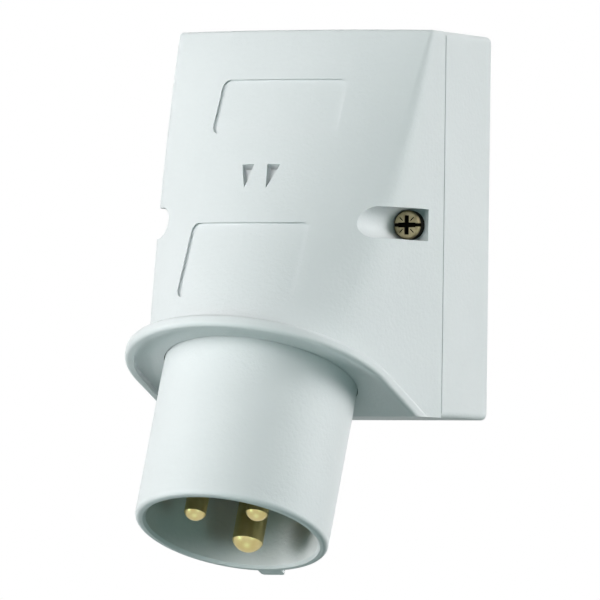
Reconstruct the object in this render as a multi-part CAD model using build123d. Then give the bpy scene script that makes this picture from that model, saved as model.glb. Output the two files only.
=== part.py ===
"""Wall-mounted appliance inlet, two poles and earth, with a shroud that points down and forward.

Millimetres, +Z up. The origin is the middle of the wall face, the front looks along -Y.
"""

from build123d import *
import math
import os

# Driving dimensions of the housing
body_width = 63.8
body_height = 87.5
box_depth = 25.4
wall = 2.5
box_corner_radius = 1.5
seam_gap = 0.4

# Hood: outline on its top edge, measured forward from the seam
top_apex = 11.8
top_arch_radius = 92.0
top_corner_radius = 1.2
top_cheek_angle = 0.8
top_edge_radius = 0.9

# Hood: outline where it meets the flange, and how the corners grow on the way down
hood_apex_radius = 25.5
hood_arch_radius = 25.8
hood_corner_radius = 23.0
hood_cheek_radius = 25.44
arch_clearance = 0.3
corner_growth = 1.2
inner_corner_radius = 0.5
hood_sections = 6
arch_stretches = 4

# Flange lip under the hood: a round nose about the shroud axis with straight sides
lip_setback = 0.9
lip_thickness = 2.9
lip_edge_radius = 1.0
lip_rim_width = 2.1
lip_recess = 1.3

# Shroud axis: where it crosses the flange face, and its lean from the vertical in degrees
axis_reach = 54.4
axis_rise = 7.25
axis_lean_angle = 22.5

# Shroud
shroud_radius = 22.0
shroud_wall = 2.4
shroud_length = 37.2
shroud_rim_radius = 1.1
shroud_mouth_chamfer = 0.6
shroud_ledge_width = 2.2
shroud_ledge_thickness = 4.0
base_flange_radius = 25.0
base_flange_thickness = 2.5
key_width = 5.8
key_height = 2.9
key_edge_radius = 0.9
key_setback = 0.6
slip_clearance = 0.2

# Seat of the shroud inside the hood, and the ring that seals it in the flange plate
seat_height = 2.0
seal_groove_depth = 1.1
seal_groove_width = 1.6
seal_side_play = 0.1

# Pins
pin_circle_radius = 8.8
line_pin_radius = 2.5
earth_pin_radius = 3.5
line_tip_inset = 1.3
earth_tip_inset = -0.6
pin_dome_share = 0.65
pin_fit = 0.05
terminal_radius = 4.4
terminal_length = 13.0
terminal_shoulder = 1.5
wire_hole_radius = 1.8
wire_hole_depth = 10.0

# Contact carrier
carrier_flange_radius = 21.0
carrier_flange_thickness = 2.5
carrier_web_thickness = 1.6
carrier_web_height = 5.0

# Screws that clamp the carrier and the shroud
ear_spread = 22.2
ear_back = 14.0
ear_radius = 3.0
carrier_screw_radius = 1.5
carrier_screw_length = 8.5
carrier_screw_head_radius = 2.8
carrier_screw_head_height = 2.0
screw_hole_clearance = 0.2

# Terminal screws
terminal_screw_radius = 1.75
terminal_screw_length = 5.0
terminal_screw_setback = 4.0
terminal_slot_width = 0.8
terminal_slot_depth = 1.0

# Cover screws in the side pockets
cover_screw_inset = 4.9
cover_screw_level = -0.5
cover_screw_seat = 6.8
pocket_radius = 3.6
pocket_wall = 1.9
cover_screw_radius = 2.0
cover_screw_length = 24.0
cover_screw_head_radius = 3.3
cover_screw_head_height = 2.7
cover_screw_edge_chamfer = 0.4
cross_recess_width = 1.1
cross_recess_length = 4.4
cross_recess_depth = 1.5
slot_recess_width = 0.8
pillar_radius = 4.0

# Gasket between box and hood
gasket_width = 2.2
gasket_thickness = 2.0
gasket_clearance = 0.2
ledge_thickness = 2.5

# Panels on the hood, with the height of their middle
panel_depth = 0.7
panel_corner_radius = 1.8
upper_panel_width = 31.0
upper_panel_height = 12.5
upper_panel_level = 26.0
lower_panel_width = 29.0
lower_panel_height = 17.0
lower_panel_level = -9.4

# Catch nose on the hood
nose_level = 9.8
nose_height = 6.4
nose_width = 9.4
nose_wedge_top = 3.2
nose_wedge_foot = 5.4
nose_pocket_depth = 2.4
nose_backing = 1.6

# Wall fixing and cable entry
fixing_spacing_x = 40.0
fixing_spacing_z = 68.0
fixing_hole_radius = 2.6
fixing_boss_radius = 5.0
fixing_boss_height = 2.0
entry_level = 17.0
entry_radius = 8.0
grommet_lip = 2.0
grommet_lip_thickness = 1.2
grommet_wall = 1.8
knockout_radius = 10.0
knockout_skin = 0.9
knockout_groove = 1.2

# Derived places
half_width = body_width / 2
half_height = body_height / 2
lip_radius = half_width - lip_setback
cover_screw_offset = half_width - cover_screw_inset
axis_drop = half_height - axis_rise
lean = math.radians(axis_lean_angle)
seam_plane_y = -box_depth
plate_top = lip_recess + wall
seat_top = plate_top + seat_height
carrier_foot = seat_top + base_flange_thickness
carrier_top = carrier_foot + carrier_flange_thickness
shroud_bore = shroud_radius - shroud_wall
seal_level = -lip_recess - wall / 2
flange_foot_level = -axis_drop - math.tan(lean) * (axis_reach - box_depth)
far = 4 * (body_width + body_height)

# Local axes of the shroud: x across, y towards twelve o'clock, z out of the mouth
axis_plane = Plane(
    origin=(0, -axis_reach, -axis_drop),
    x_dir=(1, 0, 0),
    z_dir=(0, -math.sin(lean), -math.cos(lean)),
)


def seam_to_axis(out):
    """Distance from the seam to the shroud axis, along a plane that lies `out` past the flange face."""
    return (axis_reach + math.sin(lean) * out - box_depth) / math.cos(lean)


def flange_plane(out):
    """Plane parallel to the flange face, with its origin on the seam."""
    start = axis_plane.from_local_coords(Vector(0, -seam_to_axis(out), out))
    return Plane(origin=start, x_dir=(1, 0, 0), z_dir=axis_plane.z_dir)


def hood_cheek_angle():
    """Lean of the cheeks at the flange in degrees, at which they pass the shroud axis at their set distance."""
    across = math.hypot(half_width, seam_to_axis(0))
    return math.degrees(math.acos(hood_cheek_radius / across) - math.atan2(seam_to_axis(0), half_width))


def hood_plane(share):
    """Plane of a hood section with its origin on the seam: level at the top, on the flange face at share 1."""
    turn = lean * share
    level = half_height + (flange_foot_level - half_height) * share
    normal = (0, -math.sin(turn), -math.cos(turn))
    return Plane(origin=(0, seam_plane_y, level), x_dir=(1, 0, 0), z_dir=normal)


def front_line():
    """Foot and top of the hood's straight front line."""
    foot = axis_plane.from_local_coords(Vector(0, hood_apex_radius, 0))
    return foot, Vector(0, seam_plane_y - top_apex, half_height)


def apex_on(plane):
    """Distance from the seam to the front line, measured in a section plane."""
    foot, top = front_line()
    rise = top - foot
    gap = foot - plane.origin
    across = plane.y_dir.Y * rise.Z - plane.y_dir.Z * rise.Y
    return (gap.Y * rise.Z - gap.Z * rise.Y) / across


def hood_outline(plane, apex, arch_radius, corner_radius, taper, inset=0.0, start=0.0):
    """Cheek, corner arc, front arch, corner arc, cheek: every stretch is tangent to the next."""
    lean_in = math.radians(taper)
    normal = Vector(math.cos(lean_in), math.sin(lean_in))
    along = Vector(-math.sin(lean_in), math.cos(lean_in))
    cheek = half_width * math.cos(lean_in) - inset
    tightest_arch = (cheek + inset - apex * math.sin(lean_in)) / (1 - math.sin(lean_in))
    arch_radius = max(arch_radius, tightest_arch + arch_clearance)
    arch = arch_radius - inset
    corner = max(corner_radius - inset, inner_corner_radius)
    arch_centre = Vector(0, apex - arch_radius)
    foot = normal * (cheek - corner) - arch_centre
    shift = foot.dot(along)
    reach = -shift + math.sqrt(shift**2 - foot.dot(foot) + (arch - corner) ** 2)
    corner_centre = normal * (cheek - corner) + along * reach
    outward = (corner_centre - arch_centre).normalized()
    halfway = (normal + outward).normalized()
    back = Vector((cheek - start * normal.Y) / normal.X, start)
    cheek_end = corner_centre + normal * corner
    corner_mid = corner_centre + halfway * corner
    arch_end = arch_centre + outward * arch
    swing = math.atan2(outward.X, outward.Y)

    def mirrored(point):
        return Vector(-point.X, point.Y)

    def on_arch(share):
        return arch_centre + Vector(math.sin(swing * share), math.cos(swing * share)) * arch

    edges = [
        Edge.make_line(mirrored(back), back),
        Edge.make_line(back, cheek_end),
        Edge.make_three_point_arc(cheek_end, corner_mid, arch_end),
    ]
    for stretch in range(arch_stretches):
        shares = [1 - (2 * stretch + end) / arch_stretches for end in (0, 1, 2)]
        edges.append(Edge.make_three_point_arc(*[on_arch(share) for share in shares]))
    edges += [
        Edge.make_three_point_arc(mirrored(arch_end), mirrored(corner_mid), mirrored(cheek_end)),
        Edge.make_line(mirrored(cheek_end), mirrored(back)),
    ]
    return plane * Face(Wire(edges))


def hood_values(plane):
    """Arch radius, corner radius and cheek taper of the hood where a section plane meets the seam."""
    share = (half_height - plane.origin.Z) / (half_height - flange_foot_level)
    curve = (1 - share) / top_arch_radius + share / hood_arch_radius
    corner = top_corner_radius + (hood_corner_radius - top_corner_radius) * share**corner_growth
    taper = top_cheek_angle + (hood_cheek_angle() - top_cheek_angle) * share
    return 1 / curve, corner, taper


def hood_block(inset=0.0):
    """Solid hood from the top to the flange face, or its inside when inset by a wall."""
    outlines = []
    for step in range(hood_sections):
        plane = hood_plane(step / (hood_sections - 1))
        start = -wall if inset else 0.0
        outlines.append(hood_outline(plane, apex_on(plane), *hood_values(plane), inset, start))
    return loft(outlines)


def lip_outline(out, inset=0.0):
    """Straight sides from the seam and a half-round nose about the shroud axis."""
    radius = lip_radius - inset
    reach = seam_to_axis(out)
    corners = [(-radius, reach), (-radius, 0), (radius, 0), (radius, reach)]
    edges = [Edge.make_line(start, end) for start, end in zip(corners, corners[1:])]
    edges.append(Edge.make_three_point_arc((radius, reach), (0, reach + radius), (-radius, reach)))
    return flange_plane(out) * Face(Wire(edges))


def above_flange(height):
    """Everything more than a height above the flange face, along the shroud axis."""
    return axis_plane * (Pos(0, 0, -height - far / 2) * Box(far, far, far))


def hood_room(margin):
    """Room inside the hood above the flange plate, less a margin on every wall."""
    inset = wall + margin
    room = hood_block(inset) & level_slice(-half_height + inset, half_height - inset)
    return room & above_flange(plate_top)


def level_slice(low, high):
    """Everything in front of the seam between two levels."""
    middle = (low + high) / 2
    return Pos(0, seam_plane_y - far / 2, middle) * Box(far, far, high - low)


def along_y(radius, start, end, x, z):
    """Round bar along Y from y = start to y = end."""
    length = abs(end - start)
    return Pos(x, (start + end) / 2, z) * Rot(90, 0, 0) * Cylinder(radius, length)


def along_axis(radius, low, high, x=0.0, y=0.0):
    """Round bar along the shroud axis between two local heights."""
    bar = Pos(x, y, (low + high) / 2) * Cylinder(radius, high - low)
    return axis_plane * bar


def solid_of(shape):
    """The one solid of a finished piece."""
    return shape.solids().sort_by(SortBy.VOLUME)[-1]


def ear_places():
    """Local x and y of the two screws that clamp the carrier."""
    return [(side * ear_spread, -ear_back) for side in (-1, 1)]


def cover_screw_places():
    """X of the two cover screws."""
    return [side * cover_screw_offset for side in (-1, 1)]


def seam_region(inset, pillar_margin):
    """Rounded rectangle inside the side walls, notched round the two screw pillars."""
    region = RectangleRounded(
        body_width - 2 * inset, body_height - 2 * inset, max(box_corner_radius, wall / 2)
    )
    notch = Circle(pillar_radius + pillar_margin)
    return region - [Pos(x, cover_screw_level) * notch for x in cover_screw_places()]


def seam_slab(region, back, depth):
    """Extrudes a region of the seam plane forward from y = back."""
    plane = Plane(origin=(0, back, 0), x_dir=(1, 0, 0), z_dir=(0, -1, 0))
    return extrude(plane * region, amount=depth)


gasket_outer_inset = wall + gasket_clearance
gasket_inner_inset = gasket_outer_inset + gasket_width
gasket_outer_margin = gasket_clearance
gasket_inner_margin = gasket_outer_margin + gasket_width
rim_region = seam_region(gasket_inner_inset, gasket_inner_margin)
gasket_region = seam_region(gasket_outer_inset, gasket_outer_margin) - rim_region


def make_wall_box():
    """Open box with a gasket ledge, screw pillars, wall-fixing bosses and cable entries."""
    outline = RectangleRounded(body_width, body_height, box_corner_radius)
    room = RectangleRounded(
        body_width - 2 * wall, body_height - 2 * wall, max(box_corner_radius, wall / 2)
    )
    box = seam_slab(outline, 0, box_depth - seam_gap)
    box -= seam_slab(room, -wall, box_depth)
    ledge_front = box_depth - gasket_thickness
    box += seam_slab(room - rim_region, ledge_thickness - ledge_front, ledge_thickness)
    for x in cover_screw_places():
        pillar = along_y(pillar_radius, 0, -(box_depth - seam_gap), x, cover_screw_level)
        box += pillar & seam_slab(outline, 0, box_depth)
        depth = cover_screw_length - cover_screw_seat + wall
        box -= along_y(cover_screw_radius, seam_plane_y, seam_plane_y + depth, x, cover_screw_level)
    for x in (-fixing_spacing_x / 2, fixing_spacing_x / 2):
        for z in (-fixing_spacing_z / 2, fixing_spacing_z / 2):
            box += along_y(fixing_boss_radius, -wall, -wall - fixing_boss_height, x, z)
            box -= along_y(fixing_hole_radius, 0, -wall - fixing_boss_height, x, z)
    box -= along_y(entry_radius, 0, -wall, 0, entry_level)
    pocket = entry_radius + grommet_lip + slip_clearance
    box -= along_y(pocket, 0, -grommet_lip_thickness, 0, entry_level)
    knockout = Pos(0, -box_depth / 2, half_height)
    groove_depth = wall - knockout_skin
    groove = Cylinder(knockout_radius, 2 * groove_depth) - Cylinder(
        knockout_radius - knockout_groove, 2 * groove_depth
    )
    box -= knockout * groove
    return solid_of(box)


def make_cover_gasket():
    """Flat ring that lies on the box ledge and jogs inward round the screw pillars."""
    ledge_front = box_depth - gasket_thickness
    return solid_of(seam_slab(gasket_region, -ledge_front, gasket_thickness))


def lip_slab():
    """Lip under the hood, with rounded outer edges."""
    lip = extrude(lip_outline(-lip_thickness), amount=lip_thickness)
    upright = lip.edges().filter_by(Axis(axis_plane.origin, axis_plane.z_dir))
    rounded = [e for e in lip.edges() - upright if e.center().Y < seam_plane_y - lip_thickness]
    return fillet(rounded, lip_edge_radius)


def panel_prism(width, height, level):
    """Prism that cuts a panel out of the hood's skin from the front."""
    plane = Plane(origin=(0, seam_plane_y, level), x_dir=(1, 0, 0), z_dir=(0, -1, 0))
    return extrude(plane * RectangleRounded(width, height, panel_corner_radius), amount=far)


def nose_plane():
    """Plane on the hood's front line at the level of the catch nose."""
    foot, top = front_line()
    up = (top - foot).normalized()
    share = (nose_level - foot.Z) / (top.Z - foot.Z)
    origin = foot + (top - foot) * share
    return Plane(origin=origin, x_dir=(1, 0, 0), z_dir=Vector(1, 0, 0).cross(up))


def nose_pockets():
    """Two three-cornered pockets that leave a wedge standing between them."""
    half = nose_height / 2
    pockets = []
    for side in (-1, 1):
        corners = [
            (side * nose_wedge_top / 2, half),
            (side * nose_width / 2, half),
            (side * nose_wedge_foot / 2, -half),
        ]
        outline = Polyline(*corners, close=True)
        pocket = extrude(nose_plane() * make_face(outline), amount=nose_pocket_depth, both=True)
        pockets.append(pocket)
    return pockets


def hood_outside():
    """Hood and lip as one block, with sunk panels and a rounded top edge."""
    block = hood_block()
    top_edges = [e for e in block.edges() if abs(e.center().Z - half_height) < slip_clearance]
    top_edges = [e for e in top_edges if e.center().Y < seam_plane_y - slip_clearance]
    block = fillet(top_edges, top_edge_radius)
    panels = panel_prism(upper_panel_width, upper_panel_height, upper_panel_level)
    panels += panel_prism(lower_panel_width, lower_panel_height, lower_panel_level)
    block = block - panels + (hood_block(panel_depth) & panels)
    block &= above_flange(lip_thickness / 2)
    outside = block + lip_slab()
    return outside & level_slice(-half_height, half_height)


def make_hood_cover():
    """Hood shell with flange plate, shroud seat, screw pockets, panels and catch nose."""
    outside = hood_outside()
    inside = hood_room(0)

    hood = outside - inside
    hood += seam_slab(
        RectangleRounded(body_width, body_height, box_corner_radius) - rim_region,
        seam_plane_y,
        wall,
    ) & outside

    seat = along_axis(base_flange_radius, -seat_top, -lip_recess)
    for x, y in ear_places():
        seat += along_axis(ear_radius, -seat_top, -lip_recess, x, y)
    hood += seat & outside
    backing_depth = nose_pocket_depth + nose_backing
    backing = extrude(
        nose_plane() * Rectangle(nose_width + 2 * nose_backing, nose_height + 2 * nose_backing),
        amount=-backing_depth,
    )
    hood += backing & outside
    for x in cover_screw_places():
        tube = along_y(pocket_radius + pocket_wall, seam_plane_y, -far, x, cover_screw_level)
        hood += tube & outside

    recess = extrude(lip_outline(-lip_recess, lip_rim_width), amount=far)
    hood -= recess
    hood -= along_axis(shroud_radius + slip_clearance, -seat_top, far)
    for x, y in ear_places():
        screw_end = carrier_screw_length + slip_clearance - carrier_top
        hood -= along_axis(carrier_screw_radius, -seat_top, screw_end, x, y)
    for x in cover_screw_places():
        seat_y = seam_plane_y - cover_screw_seat
        side = math.copysign(1, x)
        channel = along_y(pocket_radius, seat_y, -far, x, cover_screw_level)
        open_side = Box(far, far, 2 * pocket_radius)
        open_side = Pos(x + side * far / 2, seat_y - far / 2, cover_screw_level) * open_side
        hood -= channel + open_side
        hole = cover_screw_radius + screw_hole_clearance
        hood -= along_y(hole, seam_plane_y, seat_y, x, cover_screw_level)
    for pocket in nose_pockets():
        hood -= pocket
    return solid_of(hood)


def make_cover_screws():
    """Two screws with a combined cross and slot drive."""
    screws = []
    for x in cover_screw_places():
        seat_y = seam_plane_y - cover_screw_seat
        face_y = seat_y - cover_screw_head_height
        head = along_y(cover_screw_head_radius, seat_y, face_y, x, cover_screw_level)
        rim = head.edges().sort_by(Axis.Y)[0]
        head = chamfer(rim, cover_screw_edge_chamfer)
        end_y = seat_y + cover_screw_length
        shank = along_y(cover_screw_radius, seat_y, end_y, x, cover_screw_level)
        drive = Box(cross_recess_length, 2 * cross_recess_depth, cross_recess_width)
        drive += Box(cross_recess_width, 2 * cross_recess_depth, cross_recess_length)
        drive += Box(far, cross_recess_depth, slot_recess_width)
        screws.append(solid_of(head + shank - Pos(x, face_y, cover_screw_level) * drive))
    return Compound(children=screws)


def clamp_strap(low, thickness):
    """Flat strap from the shroud axis out to both screw ears, in local coordinates."""
    strap = make_hull(
        [e for x, y in ear_places() for e in (Pos(x, y) * Circle(ear_radius)).edges()]
        + Circle(shroud_bore).edges()
    )
    return Pos(0, 0, low) * extrude(strap, amount=thickness)


def make_inlet_shroud():
    """Round collar: rounded rim, inner ledge, seal groove, base flange that clears the hood, key rib."""
    tube = Cylinder(shroud_radius, shroud_length + carrier_foot)
    tube = Pos(0, 0, (shroud_length - carrier_foot) / 2) * tube
    bore = Pos(0, 0, shroud_ledge_thickness - carrier_foot + far / 2) * Cylinder(shroud_bore, far)
    shroud = tube - bore
    rim_edges = shroud.edges().filter_by(GeomType.CIRCLE).group_by(Axis.Z)[-1].sort_by(SortBy.RADIUS)
    shroud = fillet(rim_edges[-1], shroud_rim_radius)
    mouth = shroud.edges().filter_by(GeomType.CIRCLE).group_by(Axis.Z)[-1].sort_by(SortBy.RADIUS)[0]
    shroud = chamfer(mouth, shroud_mouth_chamfer)
    flange = Cylinder(base_flange_radius, base_flange_thickness)
    shroud += Pos(0, 0, -carrier_foot + base_flange_thickness / 2) * flange
    shroud += clamp_strap(-carrier_foot, base_flange_thickness)
    key_length = shroud_length - key_setback
    key = Pos(0, -shroud_radius, key_length / 2) * Box(key_width, 2 * key_height, key_length)
    key_edges = key.edges().filter_by(Axis.Z).sort_by(Axis.Y)[:2]
    shroud += fillet(key_edges, key_edge_radius) - bore
    groove = Cylinder(shroud_radius, seal_groove_width)
    groove -= Cylinder(shroud_radius - seal_groove_depth, seal_groove_width)
    shroud -= Pos(0, 0, seal_level) * groove
    shroud -= Cylinder(shroud_bore - shroud_ledge_width, far)
    for x, y in ear_places():
        shroud -= Pos(x, y) * Cylinder(carrier_screw_radius + screw_hole_clearance, far)
    return solid_of(axis_plane * shroud - (above_flange(seat_top) - hood_room(slip_clearance)))


def make_shroud_seal():
    """Rubber ring in the shroud's groove, against the hole in the flange plate."""
    ring = Cylinder(shroud_radius + slip_clearance, seal_groove_width - 2 * seal_side_play)
    ring -= Cylinder(shroud_radius - seal_groove_depth, seal_groove_width)
    return solid_of(axis_plane * (Pos(0, 0, seal_level) * ring))


def pin_places():
    """Name, angle from twelve o'clock, radius and tip inset of each pin."""
    return [
        ("line_pin", 120, line_pin_radius, line_tip_inset),
        ("neutral_pin", -120, line_pin_radius, line_tip_inset),
        ("earth_pin", 0, earth_pin_radius, earth_tip_inset),
    ]


def pin_centre(angle):
    """Local x and y of a pin, with the earth pin next to the key."""
    turn = math.radians(angle - 90)
    return pin_circle_radius * math.cos(turn), pin_circle_radius * math.sin(turn)


def make_contact_carrier():
    """Insulating block with stepped pin bores, a clamped flange and webs between the poles."""
    body_radius = shroud_bore - shroud_ledge_width - slip_clearance
    body = Pos(0, 0, -carrier_foot / 2) * Cylinder(body_radius, carrier_foot)
    flange = Cylinder(carrier_flange_radius, carrier_flange_thickness)
    body += Pos(0, 0, -carrier_foot - carrier_flange_thickness / 2) * flange
    body += clamp_strap(-carrier_top, carrier_flange_thickness)
    for x, y in ear_places():
        body -= Pos(x, y) * Cylinder(carrier_screw_radius + screw_hole_clearance, far)
    for name, angle, radius, inset in pin_places():
        web = Box(body_radius, carrier_web_thickness, carrier_web_height)
        web = Pos(body_radius / 2, 0, -carrier_top - carrier_web_height / 2) * web
        body += Rot(0, 0, angle + 90) * web
    for name, angle, radius, inset in pin_places():
        x, y = pin_centre(angle)
        body -= Pos(x, y) * Cylinder(radius + pin_fit, far)
        shoulder = Cylinder(terminal_radius + slip_clearance, far)
        body -= Pos(x, y, -carrier_top + terminal_shoulder - far / 2) * shoulder
    return solid_of(axis_plane * body - (above_flange(seat_top) - hood_room(slip_clearance)))


def make_pin(angle, radius, inset):
    """Turned pin: domed tip, plain shank, and a rear terminal with a wire hole and a cross thread."""
    tip = shroud_length - inset
    shank_foot = -carrier_top + terminal_shoulder
    rear = shank_foot - terminal_length
    pin = Pos(0, 0, (tip + shank_foot) / 2) * Cylinder(radius, tip - shank_foot)
    rise = pin_dome_share * radius
    dome_radius = (radius**2 + rise**2) / (2 * rise)
    dome = Pos(0, 0, tip - dome_radius) * Sphere(dome_radius)
    dome += Pos(0, 0, tip - rise - far / 2) * Cylinder(radius, far)
    pin &= dome
    pin += Pos(0, 0, (shank_foot + rear) / 2) * Cylinder(terminal_radius, terminal_length)
    pin -= Pos(0, 0, rear) * Cylinder(wire_hole_radius, 2 * wire_hole_depth)
    screw_hole = Pos(0, -terminal_radius, rear + terminal_screw_setback) * Rot(90, 0, 0)
    pin -= screw_hole * Cylinder(terminal_screw_radius, 2 * terminal_radius)
    x, y = pin_centre(angle)
    return solid_of(axis_plane * (Pos(x, y) * pin))


def make_terminal_screws():
    """Three slotted grub screws that point at the wires from the wall side."""
    screws = []
    rear = -carrier_top + terminal_shoulder - terminal_length
    for name, angle, radius, inset in pin_places():
        x, y = pin_centre(angle)
        screw = Rot(90, 0, 0) * Cylinder(terminal_screw_radius, terminal_screw_length)
        slot = Box(terminal_slot_width, 2 * terminal_slot_depth, far)
        screw -= Pos(0, -terminal_screw_length / 2, 0) * slot
        middle = y - wire_hole_radius - terminal_screw_length / 2
        screws.append(solid_of(axis_plane * (Pos(x, middle, rear + terminal_screw_setback) * screw)))
    return Compound(children=screws)


def make_carrier_screws():
    """Two cylinder-head screws through the carrier and the shroud into the hood's bosses."""
    screws = []
    for x, y in ear_places():
        head_top = -carrier_top - carrier_screw_head_height
        head = along_axis(carrier_screw_head_radius, head_top, -carrier_top, x, y)
        screw_end = carrier_screw_length - carrier_top
        shank = along_axis(carrier_screw_radius, -carrier_top, screw_end, x, y)
        screws.append(solid_of(head + shank))
    return Compound(children=screws)


def make_cable_grommet():
    """Rubber bush that grips the rear wall of the box round the cable entry."""
    outer_lip = entry_radius + grommet_lip
    neck = entry_radius
    hole = entry_radius - grommet_wall
    grommet = along_y(neck, 0, -wall - grommet_lip_thickness, 0, entry_level)
    grommet += along_y(outer_lip, 0, -grommet_lip_thickness, 0, entry_level)
    grommet += along_y(outer_lip, -wall, -wall - grommet_lip_thickness, 0, entry_level)
    grommet -= along_y(hole, wall, -2 * wall, 0, entry_level)
    return solid_of(grommet)


def main():
    pieces = {
        "wall_box": make_wall_box(),
        "cover_gasket": make_cover_gasket(),
        "hood_cover": make_hood_cover(),
        "cover_screws": make_cover_screws(),
        "inlet_shroud": make_inlet_shroud(),
        "shroud_seal": make_shroud_seal(),
        "contact_carrier": make_contact_carrier(),
        "carrier_screws": make_carrier_screws(),
        "terminal_screws": make_terminal_screws(),
        "cable_grommet": make_cable_grommet(),
    }
    for name, angle, radius, inset in pin_places():
        pieces[name] = make_pin(angle, radius, inset)
    os.makedirs("parts", exist_ok=True)
    for name, piece in pieces.items():
        export_step(piece, f"parts/{name}.step")


main()
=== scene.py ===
"""Looks of a wall-mounted appliance inlet: finishes, drive marks, studio light and the camera."""

import math

import bpy
from mathutils import Matrix, Vector


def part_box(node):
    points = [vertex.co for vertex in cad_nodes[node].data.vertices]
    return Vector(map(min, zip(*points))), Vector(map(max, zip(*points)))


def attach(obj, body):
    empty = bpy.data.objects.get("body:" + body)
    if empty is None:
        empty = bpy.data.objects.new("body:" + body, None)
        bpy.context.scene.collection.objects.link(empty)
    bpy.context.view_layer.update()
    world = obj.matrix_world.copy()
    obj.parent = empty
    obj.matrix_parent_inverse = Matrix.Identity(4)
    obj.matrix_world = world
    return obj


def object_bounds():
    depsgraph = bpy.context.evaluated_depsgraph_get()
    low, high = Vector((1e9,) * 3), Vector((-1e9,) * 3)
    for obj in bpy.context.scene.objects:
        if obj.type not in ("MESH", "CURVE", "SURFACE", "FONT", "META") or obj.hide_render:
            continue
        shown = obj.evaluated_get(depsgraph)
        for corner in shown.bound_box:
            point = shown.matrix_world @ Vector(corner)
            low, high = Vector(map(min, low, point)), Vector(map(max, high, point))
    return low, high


MM = 0.001
IMAGE_PIXELS = 600

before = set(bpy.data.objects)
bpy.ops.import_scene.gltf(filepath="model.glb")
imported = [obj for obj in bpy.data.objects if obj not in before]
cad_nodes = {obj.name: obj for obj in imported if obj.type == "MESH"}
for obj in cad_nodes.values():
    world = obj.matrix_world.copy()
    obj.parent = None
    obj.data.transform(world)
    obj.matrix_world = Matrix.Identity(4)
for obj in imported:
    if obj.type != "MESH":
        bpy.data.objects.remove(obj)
cad_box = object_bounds()

# Lean of the shroud and pins from the vertical, as built
SHROUD_LEAN = math.radians(22.5)
SHROUD_AXIS = (0, -math.sin(SHROUD_LEAN), -math.cos(SHROUD_LEAN))

# Moulded plastic: the mould's grain is about 0.1 mm and is drawn coarser here so that it shows
FLOW_CLOUD = 22 * MM
SINK_SPACING = 14 * MM
SINK_DEPTH = 0.4 * MM
MOULD_GRAIN = 0.9 * MM
MOULD_GRAIN_DEPTH = 0.1 * MM
SKIN_VARIATION = 0.06
PLASTIC_IOR = 1.5
PLASTIC_SPECULAR = 0.4

# Turned brass: tool rings are about 0.1 mm apart and are drawn wider here so that they show
TARNISH_PATCH = 4 * MM
TOOL_RING_SPACING = 0.5 * MM
TOOL_RING_DEPTH = 0.02 * MM

# Plated steel: blotches and pits from the bath, and the depths behind a screw head's face at which painted
# shade starts and fills the recess
PLATING_BLOTCH = 1.6 * MM
PASSIVATED_BLOTCH = 1.2 * MM
PLATING_PIT_DEPTH = 0.05 * MM
RECESS_SHADE_START = 0.1 * MM
RECESS_SHADE_FULL = 0.7 * MM

# Pressed rubber
BLOOM_PATCH = 3 * MM
PORE_DEPTH = 0.1 * MM
RUBBER_IOR = 1.52

# Drive marks between the arms of the cross recess on each cover screw
COVER_SCREWS = 2
SCREW_HEAD_RADIUS = 3.3 * MM
MARKS_PER_HEAD = 4
MARK_RING_RADIUS = 1.9 * MM
MARK_LENGTH = 1.1 * MM
MARK_WIDTH = 0.24 * MM
MARK_DEPTH = 0.05 * MM

# Camera: where it stands and how many pixels a millimetre takes at its target
CAMERA_AZIMUTH = math.radians(24.632)
CAMERA_ELEVATION = math.radians(-1.835)
CAMERA_ROLL = math.radians(0.732)
CAMERA_DISTANCE = 2870.9 * MM
PIXELS_PER_MM = 4.413
TARGET_DEPTH = -35.0 * MM
TARGET_ACROSS = 0.758 * MM
TARGET_UP = -17.405 * MM
SENSOR_WIDTH = 36.0
FAR_CLIP = 50.0

# Studio: the room light grows from the ground's strength to the sky's between two heights of its direction
FLOOR_SIZE = 6.0
FLOOR_DROP = 800.0 * MM
FLOOR_WHITENESS = 0.8
PAPER_FIBRE = 3 * MM
WHITE = "#FFFFFF"
ROOM_TINT = "#8ED2C8"
GROUND_HEIGHT = -0.4
GROUND_STRENGTH = 0.01
SKY_HEIGHT = 0.5
SKY_STRENGTH = 0.10
LAMP_SPREAD = math.radians(48)
LAMP_DISTANCE = 1.3
BOUNCE_TINT = "#A9DCD5"

# Sockets of a Mix node for colours, which have the same names as those for its other kinds of data
MIX_FIRST = 6
MIX_SECOND = 7
MIX_RESULT = 2


def linear(hex_colour):
    """sRGB hex to a linear colour with alpha."""
    channels = [int(hex_colour[i : i + 2], 16) / 255 for i in (1, 3, 5)]
    return [c / 12.92 if c <= 0.04045 else ((c + 0.055) / 1.055) ** 2.4 for c in channels] + [1.0]


def add_node(tree, kind, inputs=None, **settings):
    """Adds a node, sets its options, and sets or links its inputs."""
    made = tree.nodes.new(kind)
    for name, value in settings.items():
        setattr(made, name, value)
    for socket, value in (inputs or {}).items():
        if isinstance(value, bpy.types.NodeSocket):
            tree.links.new(value, made.inputs[socket])
        else:
            made.inputs[socket].default_value = value
    return made


def start_material(name):
    """Empty node material, its tree and the object's own coordinates."""
    material = bpy.data.materials.new(name)
    material.use_nodes = True
    tree = material.node_tree
    tree.nodes.clear()
    place = add_node(tree, "ShaderNodeTexCoord").outputs["Object"]
    return material, tree, place


def per_metre(size):
    """Noise scale whose features are about this size."""
    return 1 / size


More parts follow.
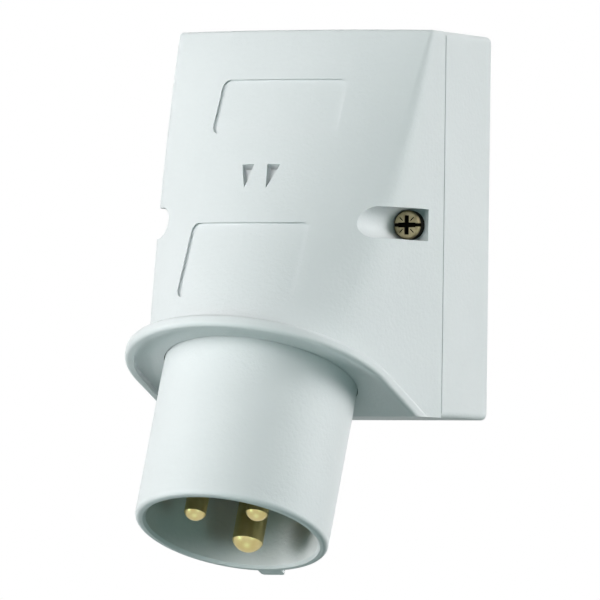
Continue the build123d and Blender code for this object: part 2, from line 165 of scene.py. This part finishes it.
def moulded_plastic(name, tone, shade, roughness):
    """Injection-moulded plastic: an even body with faint flow clouds and the eroded mould's satin skin."""
    material, tree, place = start_material(name)
    clouds = add_node(
        tree,
        "ShaderNodeTexNoise",
        {"Vector": place, "Scale": per_metre(FLOW_CLOUD), "Detail": 3.0, "Roughness": 0.55},
    )
    body = add_node(
        tree,
        "ShaderNodeMix",
        {"Factor": clouds.outputs["Fac"], MIX_FIRST: linear(shade), MIX_SECOND: linear(tone)},
        data_type="RGBA",
    )
    grain = add_node(
        tree,
        "ShaderNodeTexNoise",
        {"Vector": place, "Scale": per_metre(MOULD_GRAIN), "Detail": 2.0, "Roughness": 0.6},
    )
    sinks = add_node(
        tree, "ShaderNodeTexNoise", {"Vector": place, "Scale": per_metre(SINK_SPACING), "Detail": 1.0}
    )
    skin = add_node(
        tree,
        "ShaderNodeMapRange",
        {
            "Value": grain.outputs["Fac"],
            "To Min": roughness - SKIN_VARIATION,
            "To Max": roughness + SKIN_VARIATION,
        },
    )
    wavy = add_node(
        tree, "ShaderNodeBump", {"Height": sinks.outputs["Fac"], "Strength": 0.05, "Distance": SINK_DEPTH}
    )
    grainy = add_node(
        tree,
        "ShaderNodeBump",
        {
            "Height": grain.outputs["Fac"],
            "Strength": 0.9,
            "Distance": MOULD_GRAIN_DEPTH,
            "Normal": wavy.outputs["Normal"],
        },
    )
    shader = add_node(
        tree,
        "ShaderNodeBsdfPrincipled",
        {
            "Base Color": body.outputs[MIX_RESULT],
            "Roughness": skin.outputs["Result"],
            "Normal": grainy.outputs["Normal"],
            "IOR": PLASTIC_IOR,
            "Specular IOR Level": PLASTIC_SPECULAR,
        },
    )
    add_node(tree, "ShaderNodeOutputMaterial", {"Surface": shader.outputs["BSDF"]})
    return material


def turned_brass():
    """Turned bare brass: warm yellow metal with fine tool rings round the pin and a brownish tarnish."""
    material, tree, place = start_material("turned brass")
    tarnish = add_node(
        tree,
        "ShaderNodeTexNoise",
        {"Vector": place, "Scale": per_metre(TARNISH_PATCH), "Detail": 4.0, "Roughness": 0.6},
    )
    colour = add_node(
        tree,
        "ShaderNodeMix",
        {"Factor": tarnish.outputs["Fac"], MIX_FIRST: linear("#C9B470"), MIX_SECOND: linear("#EBDDA6")},
        data_type="RGBA",
    )
    along = add_node(tree, "ShaderNodeVectorMath", {0: place, 1: SHROUD_AXIS}, operation="DOT_PRODUCT")
    phase = add_node(
        tree,
        "ShaderNodeMath",
        {0: along.outputs["Value"], 1: math.tau / TOOL_RING_SPACING},
        operation="MULTIPLY",
    )
    rings = add_node(tree, "ShaderNodeMath", {0: phase.outputs["Value"]}, operation="SINE")
    lathe = add_node(
        tree,
        "ShaderNodeBump",
        {"Height": rings.outputs["Value"], "Strength": 0.06, "Distance": TOOL_RING_DEPTH},
    )
    sheen = add_node(
        tree, "ShaderNodeMapRange", {"Value": tarnish.outputs["Fac"], "To Min": 0.28, "To Max": 0.42}
    )
    shader = add_node(
        tree,
        "ShaderNodeBsdfPrincipled",
        {
            "Base Color": colour.outputs[MIX_RESULT],
            "Metallic": 1.0,
            "Roughness": sheen.outputs["Result"],
            "Normal": lathe.outputs["Normal"],
        },
    )
    add_node(tree, "ShaderNodeOutputMaterial", {"Surface": shader.outputs["BSDF"]})
    return material


def plated_steel(name, tone, shade, roughness):
    """Zinc-plated steel: grey metal with soft bath blotches, or nearly black as painted shade in a groove.
    """
    material, tree, place = start_material(name)
    blotches = add_node(
        tree,
        "ShaderNodeTexNoise",
        {"Vector": place, "Scale": per_metre(PLATING_BLOTCH), "Detail": 4.0, "Roughness": 0.65},
    )
    colour = add_node(
        tree,
        "ShaderNodeMix",
        {"Factor": blotches.outputs["Fac"], MIX_FIRST: linear(shade), MIX_SECOND: linear(tone)},
        data_type="RGBA",
    )
    sheen = add_node(
        tree,
        "ShaderNodeMapRange",
        {"Value": blotches.outputs["Fac"], "To Min": roughness + 0.1, "To Max": roughness - 0.05},
    )
    pits = add_node(
        tree,
        "ShaderNodeBump",
        {"Height": blotches.outputs["Fac"], "Strength": 0.15, "Distance": PLATING_PIT_DEPTH},
    )
    shader = add_node(
        tree,
        "ShaderNodeBsdfPrincipled",
        {
            "Base Color": colour.outputs[MIX_RESULT],
            "Metallic": 1.0,
            "Roughness": sheen.outputs["Result"],
            "Normal": pits.outputs["Normal"],
        },
    )
    add_node(tree, "ShaderNodeOutputMaterial", {"Surface": shader.outputs["BSDF"]})
    return material


def passivated_steel():
    """Yellow-passivated screws: straw-coloured metal on the heads' faces; painted shade makes the cross
    recess and the heads' edges nearly black.
    """
    material, tree, place = start_material("yellow passivated zinc-plated steel")
    face_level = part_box("cover_screws")[0][1]
    blotches = add_node(
        tree,
        "ShaderNodeTexNoise",
        {"Vector": place, "Scale": per_metre(PASSIVATED_BLOTCH), "Detail": 4.0, "Roughness": 0.65},
    )
    face = add_node(
        tree,
        "ShaderNodeMix",
        {"Factor": blotches.outputs["Fac"], MIX_FIRST: linear("#7E7050"), MIX_SECOND: linear("#CFC39E")},
        data_type="RGBA",
    )
    depth = add_node(tree, "ShaderNodeSeparateXYZ", {"Vector": place}).outputs["Y"]
    # Painted shade: past the head's face the colour goes nearly black, which darkens the cross recess and
    # the head's chamfered edge
    recess_shade = add_node(
        tree,
        "ShaderNodeMapRange",
        {"Value": depth, "From Min": face_level + RECESS_SHADE_START, "From Max": face_level + RECESS_SHADE_FULL},
    )
    colour = add_node(
        tree,
        "ShaderNodeMix",
        {
            "Factor": recess_shade.outputs["Result"],
            MIX_FIRST: face.outputs[MIX_RESULT],
            MIX_SECOND: linear("#17150F"),
        },
        data_type="RGBA",
    )
    sheen = add_node(
        tree, "ShaderNodeMapRange", {"Value": recess_shade.outputs["Result"], "To Min": 0.34, "To Max": 0.7}
    )
    pits = add_node(
        tree,
        "ShaderNodeBump",
        {"Height": blotches.outputs["Fac"], "Strength": 0.15, "Distance": PLATING_PIT_DEPTH},
    )
    shader = add_node(
        tree,
        "ShaderNodeBsdfPrincipled",
        {
            "Base Color": colour.outputs[MIX_RESULT],
            "Metallic": 1.0,
            "Roughness": sheen.outputs["Result"],
            "Normal": pits.outputs["Normal"],
        },
    )
    add_node(tree, "ShaderNodeOutputMaterial", {"Surface": shader.outputs["BSDF"]})
    return material


def pressed_rubber():
    """Pressed black rubber: nearly no gloss, a chalky bloom in patches."""
    material, tree, place = start_material("pressed black rubber")
    bloom = add_node(
        tree,
        "ShaderNodeTexNoise",
        {"Vector": place, "Scale": per_metre(BLOOM_PATCH), "Detail": 5.0, "Roughness": 0.6},
    )
    colour = add_node(
        tree,
        "ShaderNodeMix",
        {"Factor": bloom.outputs["Fac"], MIX_FIRST: linear("#1B1C1D"), MIX_SECOND: linear("#2C2E2F")},
        data_type="RGBA",
    )
    pores = add_node(
        tree, "ShaderNodeBump", {"Height": bloom.outputs["Fac"], "Strength": 0.15, "Distance": PORE_DEPTH}
    )
    shader = add_node(
        tree,
        "ShaderNodeBsdfPrincipled",
        {
            "Base Color": colour.outputs[MIX_RESULT],
            "Roughness": 0.8,
            "Normal": pores.outputs["Normal"],
            "IOR": RUBBER_IOR,
        },
    )
    add_node(tree, "ShaderNodeOutputMaterial", {"Surface": shader.outputs["BSDF"]})
    return material


def dress_frame():
    """Gives every CAD node its finish."""
    housing = moulded_plastic("moulded grey polyamide", tone="#DFE1E2", shade="#D8DBDC", roughness=0.48)
    insulator = moulded_plastic(
        "moulded black glass-filled nylon", tone="#1D2424", shade="#141919", roughness=0.55
    )
    brass = turned_brass()
    passivated = passivated_steel()
    plated = plated_steel("zinc-plated steel", tone="#C9CCCE", shade="#A9ADB0", roughness=0.32)
    rubber = pressed_rubber()
    finishes = {
        "wall_box": housing,
        "hood_cover": housing,
        "inlet_shroud": housing,
        "contact_carrier": insulator,
        "line_pin": brass,
        "neutral_pin": brass,
        "earth_pin": brass,
        "cover_screws": passivated,
        "carrier_screws": plated,
        "terminal_screws": plated,
        "cover_gasket": rubber,
        "shroud_seal": rubber,
        "cable_grommet": rubber,
    }
    for name, finish in finishes.items():
        mesh = cad_nodes[name].data
        mesh.materials.clear()
        mesh.materials.append(finish)


def drive_mark_tree(finish):
    """Geometry nodes: a ring of short marks on each screw head, facing the front."""
    tree = bpy.data.node_groups.new("screw drive marks", "GeometryNodeTree")
    sizes = {
        "Heads": "NodeSocketInt",
        "Marks": "NodeSocketInt",
        "Ring Radius": "NodeSocketFloat",
        "Mark Size": "NodeSocketVector",
        "First Head": "NodeSocketVector",
        "Head Spacing": "NodeSocketVector",
    }
    for name, kind in sizes.items():
        tree.interface.new_socket(name, in_out="INPUT", socket_type=kind)
    tree.interface.new_socket("Geometry", in_out="OUTPUT", socket_type="NodeSocketGeometry")
    given = add_node(tree, "NodeGroupInput").outputs
    ring = add_node(
        tree, "GeometryNodeMeshCircle", {"Vertices": given["Marks"], "Radius": given["Ring Radius"]}
    )
    mark = add_node(tree, "GeometryNodeMeshCube", {"Size": given["Mark Size"]})
    outward = add_node(
        tree,
        "FunctionNodeAlignRotationToVector",
        {"Vector": add_node(tree, "GeometryNodeInputPosition").outputs["Position"]},
        axis="X",
        pivot_axis="Z",
    )
    marks = add_node(
        tree,
        "GeometryNodeInstanceOnPoints",
        {
            "Points": ring.outputs["Mesh"],
            "Instance": mark.outputs["Mesh"],
            "Rotation": outward.outputs["Rotation"],
        },
    )
    # The ring starts flat with its first mark at three o'clock: it is turned by half a step and stood up
    upright = add_node(
        tree,
        "GeometryNodeTransform",
        {"Geometry": marks.outputs["Instances"], "Rotation": (math.pi / 2, math.pi / MARKS_PER_HEAD, 0)},
    )
    heads = add_node(
        tree,
        "GeometryNodeMeshLine",
        {"Count": given["Heads"], "Start Location": given["First Head"], "Offset": given["Head Spacing"]},
    )
    both = add_node(
        tree,
        "GeometryNodeInstanceOnPoints",
        {"Points": heads.outputs["Mesh"], "Instance": upright.outputs["Geometry"]},
    )
    real = add_node(tree, "GeometryNodeRealizeInstances", {"Geometry": both.outputs["Instances"]})
    dressed = add_node(
        tree, "GeometryNodeSetMaterial", {"Geometry": real.outputs["Geometry"], "Material": finish}
    )
    add_node(tree, "NodeGroupOutput", {"Geometry": dressed.outputs["Geometry"]})
    return tree


def make_drive_marks():
    """Shallow marks between the arms of the screws' cross recesses, nearly black as painted shade of
    engraved lines.
    """
    low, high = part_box("cover_screws")
    level = (low[2] + high[2]) / 2
    reach = high[0] - SCREW_HEAD_RADIUS
    # The marks' near-black colour is painted shade standing in for engraved lines
    groove = plated_steel("painted groove shade on plated steel", tone="#2A2720", shade="#15130F", roughness=0.5)
    tree = drive_mark_tree(groove)
    holder = bpy.data.objects.new("drive marks source", bpy.data.meshes.new("drive marks source"))
    bpy.context.scene.collection.objects.link(holder)
    modifier = holder.modifiers.new("drive marks", "NODES")
    modifier.node_group = tree
    values = {
        "Heads": COVER_SCREWS,
        "Marks": MARKS_PER_HEAD,
        "Ring Radius": MARK_RING_RADIUS,
        "Mark Size": (MARK_LENGTH, MARK_WIDTH, MARK_DEPTH),
        "First Head": (-reach, low[1], level),
        "Head Spacing": (2 * reach, 0, 0),
    }
    for socket in tree.interface.items_tree:
        if socket.name in values:
            modifier[socket.identifier] = values[socket.name]
    bpy.context.view_layer.update()
    evaluated = holder.evaluated_get(bpy.context.evaluated_depsgraph_get())
    mesh = bpy.data.meshes.new_from_object(evaluated)
    bpy.data.objects.remove(holder)
    marks = bpy.data.objects.new("screw_drive_marks", mesh)
    bpy.context.scene.collection.objects.link(marks)
    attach(marks, "root")


def background_rays(tree):
    """1 for rays from the eye, in gloss and through glass, which show the white background."""
    rays = add_node(tree, "ShaderNodeLightPath").outputs
    mirrored = add_node(
        tree,
        "ShaderNodeMath",
        {0: rays["Is Glossy Ray"], 1: rays["Is Transmission Ray"]},
        operation="MAXIMUM",
    )
    seen = add_node(
        tree, "ShaderNodeMath", {0: rays["Is Camera Ray"], 1: mirrored.outputs["Value"]}, operation="MAXIMUM"
    )
    return seen.outputs["Value"]


def make_floor():
    """Pale studio floor well below the inlet."""
    half = FLOOR_SIZE / 2
    level = cad_box[0][2] - FLOOR_DROP
    mesh = bpy.data.meshes.new("studio floor")
    corners = [(-half, -half, level), (half, -half, level), (half, half, level), (-half, half, level)]
    mesh.from_pydata(corners, [], [(0, 1, 2, 3)])
    floor = bpy.data.objects.new("studio_floor", mesh)
    bpy.context.scene.collection.objects.link(floor)
    material, tree, place = start_material("matt studio paper")
    fibres = add_node(
        tree, "ShaderNodeTexNoise", {"Vector": place, "Scale": per_metre(PAPER_FIBRE), "Detail": 3.0}
    )
    paper = add_node(
        tree,
        "ShaderNodeMix",
        {"Factor": fibres.outputs["Fac"], MIX_FIRST: linear("#EDEDEC"), MIX_SECOND: linear("#F2F2F1")},
        data_type="RGBA",
    )
    matt = add_node(
        tree, "ShaderNodeBsdfPrincipled", {"Base Color": paper.outputs[MIX_RESULT], "Roughness": 0.9}
    )
    white = add_node(tree, "ShaderNodeEmission", {"Color": linear(WHITE), "Strength": 1.0})
    share = add_node(
        tree, "ShaderNodeMath", {0: background_rays(tree), 1: FLOOR_WHITENESS}, operation="MULTIPLY"
    )
    shown = add_node(
        tree, "ShaderNodeMixShader", {0: share.outputs["Value"], 1: matt.outputs[0], 2: white.outputs[0]}
    )
    add_node(tree, "ShaderNodeOutputMaterial", {"Surface": shown.outputs[0]})
    mesh.materials.append(material)


def make_surroundings():
    """White behind the inlet for the eye and for gloss, and a soft room light that is weaker from below."""
    world = bpy.data.worlds.new("studio")
    bpy.context.scene.world = world
    world.use_nodes = True
    tree = world.node_tree
    tree.nodes.clear()
    direction = add_node(tree, "ShaderNodeTexCoord").outputs["Generated"]
    height = add_node(tree, "ShaderNodeSeparateXYZ", {"Vector": direction}).outputs["Z"]
    strength = add_node(
        tree,
        "ShaderNodeMapRange",
        {
            "Value": height,
            "From Min": GROUND_HEIGHT,
            "From Max": SKY_HEIGHT,
            "To Min": GROUND_STRENGTH,
            "To Max": SKY_STRENGTH,
        },
    )
    room = add_node(
        tree, "ShaderNodeBackground", {"Color": linear(ROOM_TINT), "Strength": strength.outputs["Result"]}
    )
    white = add_node(tree, "ShaderNodeBackground", {"Color": linear(WHITE), "Strength": 1.0})
    shown = add_node(
        tree, "ShaderNodeMixShader", {0: background_rays(tree), 1: room.outputs[0], 2: white.outputs[0]}
    )
    add_node(tree, "ShaderNodeOutputWorld", {"Surface": shown.outputs[0]})


def soft_box(name, azimuth, elevation, size, power, distance=LAMP_DISTANCE, bounced=False):
    """Square area lamp aimed at the middle of the inlet; azimuth 0 is in front, positive to the right."""
    low, high = cad_box
    middle = (Vector(low) + Vector(high)) / 2
    turn = math.radians(azimuth)
    rise = math.radians(elevation)
    away = Vector((math.sin(turn) * math.cos(rise), -math.cos(turn) * math.cos(rise), math.sin(rise)))
    lamp = bpy.data.lights.new(name, "AREA")
    lamp.size = size
    lamp.spread = LAMP_SPREAD
    lamp.energy = power
    lamp.color = linear(BOUNCE_TINT if bounced else WHITE)[:3]
    holder = bpy.data.objects.new(name, lamp)
    holder.location = middle + away * distance
    holder.rotation_euler = away.to_track_quat("Z", "Y").to_euler()
    # Only weak bounced light shows in gloss: a strong lamp mirrored in the flat top would clip to white
    holder.visible_glossy = bounced
    bpy.context.scene.collection.objects.link(holder)


def make_lights():
    """Key from the front left, rim box behind on the right, fill above, weak bounced light from below."""
    soft_box("key box", azimuth=-47, elevation=2, size=0.5, power=0.97)
    soft_box("rim box", azimuth=120, elevation=12, size=0.8, power=2.1)
    soft_box("fill box", azimuth=-4, elevation=24, size=0.8, power=1.22)
    soft_box("low right box", azimuth=50, elevation=-10, size=0.35, power=0.15, bounced=True)
    soft_box("low left box", azimuth=-40, elevation=-14, size=0.35, power=0.11, bounced=True)
    soft_box("bounce card", azimuth=0, elevation=-68, size=0.75, power=0.13, distance=0.75, bounced=True)


def make_camera():
    """Long lens at the photograph's angle."""
    right = Vector((math.cos(CAMERA_AZIMUTH), math.sin(CAMERA_AZIMUTH), 0))
    back = Vector(
        (
            math.sin(CAMERA_AZIMUTH) * math.cos(CAMERA_ELEVATION),
            -math.cos(CAMERA_AZIMUTH) * math.cos(CAMERA_ELEVATION),
            math.sin(CAMERA_ELEVATION),
        )
    )
    up = back.cross(right)
    target = right * TARGET_ACROSS + Vector((0, TARGET_DEPTH, 0)) + up * TARGET_UP
    rolled_right = right * math.cos(CAMERA_ROLL) + up * math.sin(CAMERA_ROLL)
    rolled_up = up * math.cos(CAMERA_ROLL) - right * math.sin(CAMERA_ROLL)
    lens = bpy.data.cameras.new("long lens")
    lens.sensor_fit = "HORIZONTAL"
    lens.sensor_width = SENSOR_WIDTH
    lens.lens = SENSOR_WIDTH * PIXELS_PER_MM * CAMERA_DISTANCE / MM / IMAGE_PIXELS
    lens.clip_end = FAR_CLIP
    camera = bpy.data.objects.new("camera", lens)
    axes = Matrix((rolled_right, rolled_up, back)).transposed().to_4x4()
    camera.matrix_world = Matrix.Translation(target + back * CAMERA_DISTANCE) @ axes
    bpy.context.scene.collection.objects.link(camera)
    bpy.context.scene.camera = camera


dress_frame()
make_drive_marks()
make_floor()
make_surroundings()
make_lights()
make_camera()
bpy.context.scene.view_settings.view_transform = "Standard"
